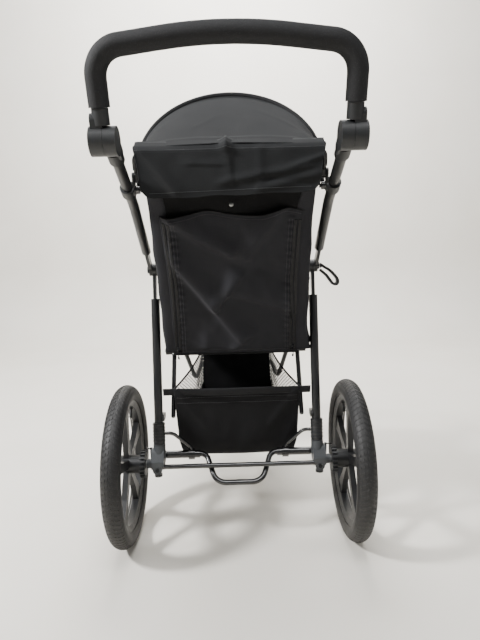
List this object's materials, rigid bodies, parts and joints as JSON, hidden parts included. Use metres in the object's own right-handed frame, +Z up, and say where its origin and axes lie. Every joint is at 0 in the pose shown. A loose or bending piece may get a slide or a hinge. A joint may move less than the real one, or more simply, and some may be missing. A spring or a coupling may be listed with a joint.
{
  "type": "jogging stroller",
  "caption": "Three-wheeled jogging stroller with folding tube frame, swivelling front wheel, reclining cloth seat, hood, basket, foot brake and tilting foam handle.",
  "frame": {"origin": "on the floor, under the middle of the stroller's length and width", "axes": "+X to the pusher's right, +Y forward towards the front wheel, +Z up"},
  "size_m": [0.613, 1.1972, 1.1127],
  "materials": {
    "frame_tube": "satin black powder coat",
    "thin_rod": "gloss black powder coat",
    "bare_steel": "zinc plated",
    "black_plastic": "fine moulded texture",
    "grey_plastic": "fine moulded texture",
    "rim_plastic": "moulded",
    "tyre_rubber": "matt, dusty",
    "grip_foam": "speckled foam",
    "body_cloth": "woven polyester",
    "hood_cloth": "woven polyester",
    "basket_cloth": "woven polyester",
    "webbing": "ribbed webbing",
    "back_board": "plain"
  },
  "bodies": {
    "front_frame": {"front_tube_left": "frame_tube", "front_tube_right": "frame_tube", "fork_head": "black_plastic", "fold_bolts": "bare_steel", "seat_frame": "frame_tube", "seat_brackets": "black_plastic", "seat_support_tubes": "thin_rod", "footrest_frame": "frame_tube", "footrest_board": "black_plastic", "seat_cushion": "body_cloth", "leg_rest": "body_cloth", "lap_straps": "webbing", "harness_buckle": "black_plastic", "release_strap": "webbing", "side_panels": "body_cloth", "basket": "basket_cloth"},
    "swivel_lock": {"swivel_lock": "black_plastic"},
    "rear_frame": {"leg_left": "frame_tube", "leg_right": "frame_tube", "leg_sleeves": "black_plastic", "axle_bracket_left": "grey_plastic", "axle_bracket_right": "grey_plastic", "rear_cross_rod": "thin_rod", "wheel_spindles": "bare_steel", "brake_stays": "thin_rod", "bracket_screws": "bare_steel"},
    "wheel_release_left": {"wheel_release_left": "black_plastic"},
    "wheel_release_right": {"wheel_release_right": "black_plastic"},
    "brake_bar": {"brake_bar": "thin_rod"},
    "rear_wheel_left": {"rear_tyre_left": "tyre_rubber", "rear_rim_left": "rim_plastic", "brake_disc_left": "grey_plastic"},
    "rear_wheel_right": {"rear_tyre_right": "tyre_rubber", "rear_rim_right": "rim_plastic", "brake_disc_right": "grey_plastic"},
    "push_frame": {"push_tube_left": "frame_tube", "push_tube_right": "frame_tube", "knuckle_inner_left": "black_plastic", "knuckle_inner_right": "black_plastic", "hood_clamps": "black_plastic", "hood_rear_bow": "thin_rod", "hood_canopy": "hood_cloth", "hood_flap": "hood_cloth"},
    "hood_front": {"hood_front_bow": "thin_rod"},
    "handle": {"handle_tube": "frame_tube", "handle_grip": "grip_foam", "knuckle_outer_left": "black_plastic", "knuckle_outer_right": "black_plastic"},
    "handle_button_left": {"handle_button_left": "black_plastic"},
    "handle_button_right": {"handle_button_right": "black_plastic"},
    "recline_bar": {"recline_bar": "frame_tube"},
    "backrest": {"backrest_board": "back_board", "back_pad": "body_cloth", "back_panel": "body_cloth", "shoulder_straps": "webbing"},
    "fork": {"fork": "black_plastic", "front_axle": "bare_steel"},
    "front_wheel": {"front_tyre": "tyre_rubber", "front_rim": "rim_plastic"}
  },
  "joints": [
    {"name": "fold", "type": "hinge", "parent": "front_frame", "child": "push_frame", "pos_m": [0, -0.15046, 0.688], "axis": [1, 0, 0], "range_deg": [-110, 0], "deforming": ["side_panels", "basket"]},
    {"name": "rear_fold", "type": "hinge", "parent": "front_frame", "child": "rear_frame", "pos_m": [0, -0.15046, 0.688], "axis": [1, 0, 0], "range_deg": [0, 44]},
    {"name": "back_fold", "type": "hinge", "parent": "front_frame", "child": "recline_bar", "pos_m": [0, -0.17046, 0.48], "axis": [1, 0, 0], "range_deg": [-45, 0]},
    {"name": "recline", "type": "hinge", "parent": "recline_bar", "child": "backrest", "pos_m": [0, -0.17046, 0.48], "axis": [1, 0, 0], "range_deg": [0, 35]},
    {"name": "hood", "type": "hinge", "parent": "push_frame", "child": "hood_front", "pos_m": [0, -0.39063, 0.86361], "axis": [-1, 0, 0], "range_deg": [-15, 60], "deforming": ["hood_canopy"]},
    {"name": "handle_tilt", "type": "hinge", "parent": "push_frame", "child": "handle", "pos_m": [0, -0.53046, 0.935], "axis": [1, 0, 0], "range_deg": [-30, 75]},
    {"name": "handle_button_left_press", "type": "slide", "parent": "handle", "child": "handle_button_left", "axis": [1, 0, 0], "range_m": [0, 0.003], "stiffness_N_per_m": 600},
    {"name": "handle_button_right_press", "type": "slide", "parent": "handle", "child": "handle_button_right", "axis": [-1, 0, 0], "range_m": [0, 0.003], "stiffness_N_per_m": 600},
    {"name": "brake", "type": "hinge", "parent": "rear_frame", "child": "brake_bar", "pos_m": [0, -0.19646, 0.208], "axis": [1, 0, 0], "range_deg": [0, 22]},
    {"name": "wheel_release_left_press", "type": "slide", "parent": "rear_frame", "child": "wheel_release_left", "axis": [0, 0, 1], "range_m": [0, 0.003], "stiffness_N_per_m": 600},
    {"name": "wheel_release_right_press", "type": "slide", "parent": "rear_frame", "child": "wheel_release_right", "axis": [0, 0, 1], "range_m": [0, 0.003], "stiffness_N_per_m": 600},
    {"name": "rear_wheel_left_spin", "type": "hinge", "parent": "rear_frame", "child": "rear_wheel_left", "pos_m": [-0.284, -0.23046, 0.1996], "axis": [1, 0, 0], "continuous": true},
    {"name": "rear_wheel_right_spin", "type": "hinge", "parent": "rear_frame", "child": "rear_wheel_right", "pos_m": [0.284, -0.23046, 0.1996], "axis": [1, 0, 0], "continuous": true},
    {"name": "fork_swivel", "type": "hinge", "parent": "front_frame", "child": "fork", "pos_m": [0, 0.49954, 0.32], "axis": [0, 0, 1], "continuous": true},
    {"name": "swivel_lock_slide", "type": "slide", "parent": "front_frame", "child": "swivel_lock", "axis": [0, 0, -1], "range_m": [0, 0.008]},
    {"name": "front_wheel_spin", "type": "hinge", "parent": "fork", "child": "front_wheel", "pos_m": [0, 0.44954, 0.1496], "axis": [1, 0, 0], "continuous": true}
  ],
  "couplings": [
    {"joint": "rear_fold", "follows": "fold", "ratio": -0.4},
    {"joint": "back_fold", "follows": "fold", "ratio": 0.40909}
  ]
}
